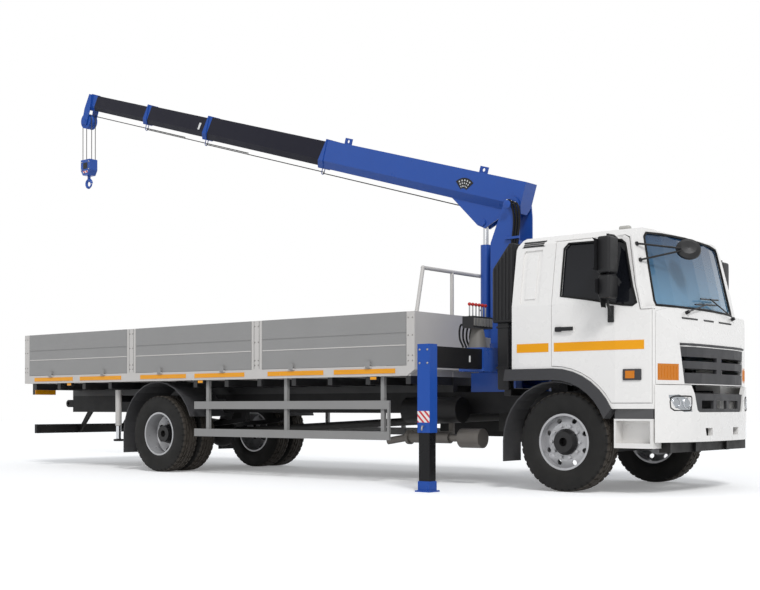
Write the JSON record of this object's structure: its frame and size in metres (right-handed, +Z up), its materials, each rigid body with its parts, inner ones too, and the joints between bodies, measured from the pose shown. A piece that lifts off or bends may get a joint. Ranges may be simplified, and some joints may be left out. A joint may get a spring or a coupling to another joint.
{
  "type": "telescopic boom truck crane",
  "caption": "Flat-bed truck with a telescopic crane between cab and platform: drop boards, sliding outriggers, extending boom and rope hook, steered and rolling wheels.",
  "frame": {"origin": "middle of the whole truck's box at the level of the ground", "axes": "+X forward to the cab, +Y to the truck's left, +Z up"},
  "size_m": [10.765, 4.18, 5.8923],
  "materials": {
    "cab_white": "gloss",
    "chassis_black": "satin",
    "plastic_grey": "satin",
    "plastic_black": "satin",
    "crane_blue": "gloss",
    "boom_navy": "gloss",
    "board_grey": "satin",
    "rail_grey": "satin",
    "rim_silver": "satin",
    "tyre": "matte",
    "glass": "clear",
    "lamp_amber": "gloss",
    "lamp_clear": "gloss",
    "rod_chrome": "polished",
    "engine_grey": "matte",
    "exhaust_steel": "satin"
  },
  "bodies": {
    "truck": {"chassis_frame": "chassis_black", "front_axle": "chassis_black", "rear_axle": "chassis_black", "powertrain": "engine_grey", "tanks": "chassis_black", "exhaust": "exhaust_steel", "bumper": "cab_white", "grilles": "plastic_black", "headlamps": "lamp_clear", "cab_steps": "cab_white", "mudguards": "plastic_grey", "side_guards": "rail_grey", "deck": "rail_grey", "headboard": "rail_grey", "lamps": "lamp_amber", "crane_base": "crane_blue", "controls": "plastic_grey", "snorkel": "plastic_black", "cab_shell": "cab_white", "cab_front": "cab_white", "cab_glass": "glass", "cab_inside": "plastic_grey", "wipers": "plastic_black", "arch_flares": "plastic_grey"},
    "door_right": {"door_right": "cab_white", "door_glass_right": "glass", "mirrors_right": "plastic_black"},
    "door_left": {"door_left": "cab_white", "door_glass_left": "glass", "mirrors_left": "plastic_black"},
    "steer_right": {"knuckle_right": "chassis_black"},
    "wheel_front_right": {"tyre_front_right": "tyre", "rim_front_right": "rim_silver"},
    "wheels_rear_right": {"tyres_rear_right": "tyre", "rims_rear_right": "rim_silver"},
    "steer_left": {"knuckle_left": "chassis_black"},
    "wheel_front_left": {"tyre_front_left": "tyre", "rim_front_left": "rim_silver"},
    "wheels_rear_left": {"tyres_rear_left": "tyre", "rims_rear_left": "rim_silver"},
    "column": {"column": "crane_blue"},
    "boom_base": {"boom_base": "crane_blue"},
    "boom_2": {"boom_2": "boom_navy"},
    "boom_3": {"boom_3": "boom_navy"},
    "boom_4": {"boom_4": "boom_navy"},
    "hook": {"hook_block": "crane_blue"},
    "lift_barrel": {"lift_barrel": "crane_blue"},
    "lift_rod": {"lift_rod": "rod_chrome"},
    "beam_right": {"beam_right": "crane_blue"},
    "leg_right": {"leg_right": "chassis_black"},
    "beam_left": {"beam_left": "crane_blue"},
    "leg_left": {"leg_left": "chassis_black"},
    "side_right_1": {"side_right_1": "board_grey"},
    "side_right_2": {"side_right_2": "board_grey"},
    "side_right_3": {"side_right_3": "board_grey"},
    "side_left_1": {"side_left_1": "board_grey"},
    "side_left_2": {"side_left_2": "board_grey"},
    "side_left_3": {"side_left_3": "board_grey"},
    "tailgate": {"tailgate": "board_grey"}
  },
  "joints": [
    {"name": "door_right_hinge", "type": "hinge", "parent": "truck", "child": "door_right", "pos_m": [5.10752, -1.12569, 1.4], "axis": [0, 0, 1], "range_deg": [0, 70]},
    {"name": "door_left_hinge", "type": "hinge", "parent": "truck", "child": "door_left", "pos_m": [5.10752, 1.12569, 1.4], "axis": [0, 0, -1], "range_deg": [0, 70]},
    {"name": "steer_right_pivot", "type": "hinge", "parent": "truck", "child": "steer_right", "pos_m": [4.13252, -0.9, 0.52], "axis": [0, 0, 1], "range_deg": [-35, 35]},
    {"name": "wheel_front_right_spin", "type": "hinge", "parent": "steer_right", "child": "wheel_front_right", "pos_m": [4.13252, -1.03, 0.52], "axis": [0, 1, 0], "continuous": true},
    {"name": "wheels_rear_right_spin", "type": "hinge", "parent": "truck", "child": "wheels_rear_right", "pos_m": [-2.16748, -0.9125, 0.52], "axis": [0, 1, 0], "continuous": true},
    {"name": "steer_left_pivot", "type": "hinge", "parent": "truck", "child": "steer_left", "pos_m": [4.13252, 0.9, 0.52], "axis": [0, 0, 1], "range_deg": [-35, 35]},
    {"name": "wheel_front_left_spin", "type": "hinge", "parent": "steer_left", "child": "wheel_front_left", "pos_m": [4.13252, 1.03, 0.52], "axis": [0, 1, 0], "continuous": true},
    {"name": "wheels_rear_left_spin", "type": "hinge", "parent": "truck", "child": "wheels_rear_left", "pos_m": [-2.16748, 0.9125, 0.52], "axis": [0, 1, 0], "continuous": true},
    {"name": "slew", "type": "hinge", "parent": "truck", "child": "column", "pos_m": [2.73252, 0, 1.575], "axis": [0, 0, 1], "continuous": true},
    {"name": "boom_lift", "type": "hinge", "parent": "column", "child": "boom_base", "pos_m": [2.84752, 0, 3.25], "axis": [0, 1, 0], "range_deg": [-15.7, 61.3]},
    {"name": "extend_2", "type": "slide", "parent": "boom_base", "child": "boom_2", "axis": [-0.9578, 0, 0.2874], "range_m": [-2.29, 0]},
    {"name": "extend_3", "type": "slide", "parent": "boom_2", "child": "boom_3", "axis": [-0.9578, 0, 0.2874], "range_m": [-1.3, 0.895]},
    {"name": "extend_4", "type": "slide", "parent": "boom_3", "child": "boom_4", "axis": [-0.9578, 0, 0.2874], "range_m": [-1.3, 0.895]},
    {"name": "hook_swing", "type": "hinge", "parent": "boom_4", "child": "hook", "pos_m": [-5.26352, 0, 5.48088], "axis": [0, 1, 0], "range_deg": [-61.4, 15.8]},
    {"name": "lift_barrel_foot", "type": "hinge", "parent": "column", "child": "lift_barrel", "pos_m": [2.39752, 0, 1.785], "axis": [0, 1, 0], "range_deg": [-0.5, 1.9]},
    {"name": "lift_rod_slide", "type": "slide", "parent": "lift_barrel", "child": "lift_rod", "axis": [0, 0, 1], "range_m": [-0.123, 0.475]},
    {"name": "beam_right_slide", "type": "slide", "parent": "truck", "child": "beam_right", "axis": [0, -1, 0], "range_m": [-0.85, 0]},
    {"name": "leg_right_slide", "type": "slide", "parent": "beam_right", "child": "leg_right", "axis": [0, 0, -1], "range_m": [-0.45, 0]},
    {"name": "beam_left_slide", "type": "slide", "parent": "truck", "child": "beam_left", "axis": [0, 1, 0], "range_m": [-0.85, 0]},
    {"name": "leg_left_slide", "type": "slide", "parent": "beam_left", "child": "leg_left", "axis": [0, 0, -1], "range_m": [-0.45, 0]},
    {"name": "side_right_1_drop", "type": "hinge", "parent": "truck", "child": "side_right_1", "pos_m": [-3.88382, -1.283, 1.347], "axis": [1, 0, 0], "range_deg": [0, 170]},
    {"name": "side_right_2_drop", "type": "hinge", "parent": "truck", "child": "side_right_2", "pos_m": [-1.44248, -1.283, 1.347], "axis": [1, 0, 0], "range_deg": [0, 170]},
    {"name": "side_right_3_drop", "type": "hinge", "parent": "truck", "child": "side_right_3", "pos_m": [0.99885, -1.283, 1.347], "axis": [1, 0, 0], "range_deg": [0, 170]},
    {"name": "side_left_1_drop", "type": "hinge", "parent": "truck", "child": "side_left_1", "pos_m": [-3.88382, 1.283, 1.347], "axis": [-1, 0, 0], "range_deg": [0, 170]},
    {"name": "side_left_2_drop", "type": "hinge", "parent": "truck", "child": "side_left_2", "pos_m": [-1.44248, 1.283, 1.347], "axis": [-1, 0, 0], "range_deg": [0, 170]},
    {"name": "side_left_3_drop", "type": "hinge", "parent": "truck", "child": "side_left_3", "pos_m": [0.99885, 1.283, 1.347], "axis": [-1, 0, 0], "range_deg": [0, 170]},
    {"name": "tailgate_drop", "type": "hinge", "parent": "truck", "child": "tailgate", "pos_m": [-5.18048, 0, 1.347], "axis": [0, -1, 0], "range_deg": [0, 155]}
  ],
  "couplings": [
    {"joint": "steer_left_pivot", "follows": "steer_right_pivot", "ratio": 1},
    {"joint": "extend_4", "follows": "extend_3", "ratio": 1},
    {"joint": "hook_swing", "follows": "boom_lift", "ratio": -1},
    {"joint": "lift_barrel_foot", "follows": "boom_lift", "ratio": 0.03},
    {"joint": "lift_rod_slide", "follows": "boom_lift", "m_per_rad": 0.443}
  ]
}
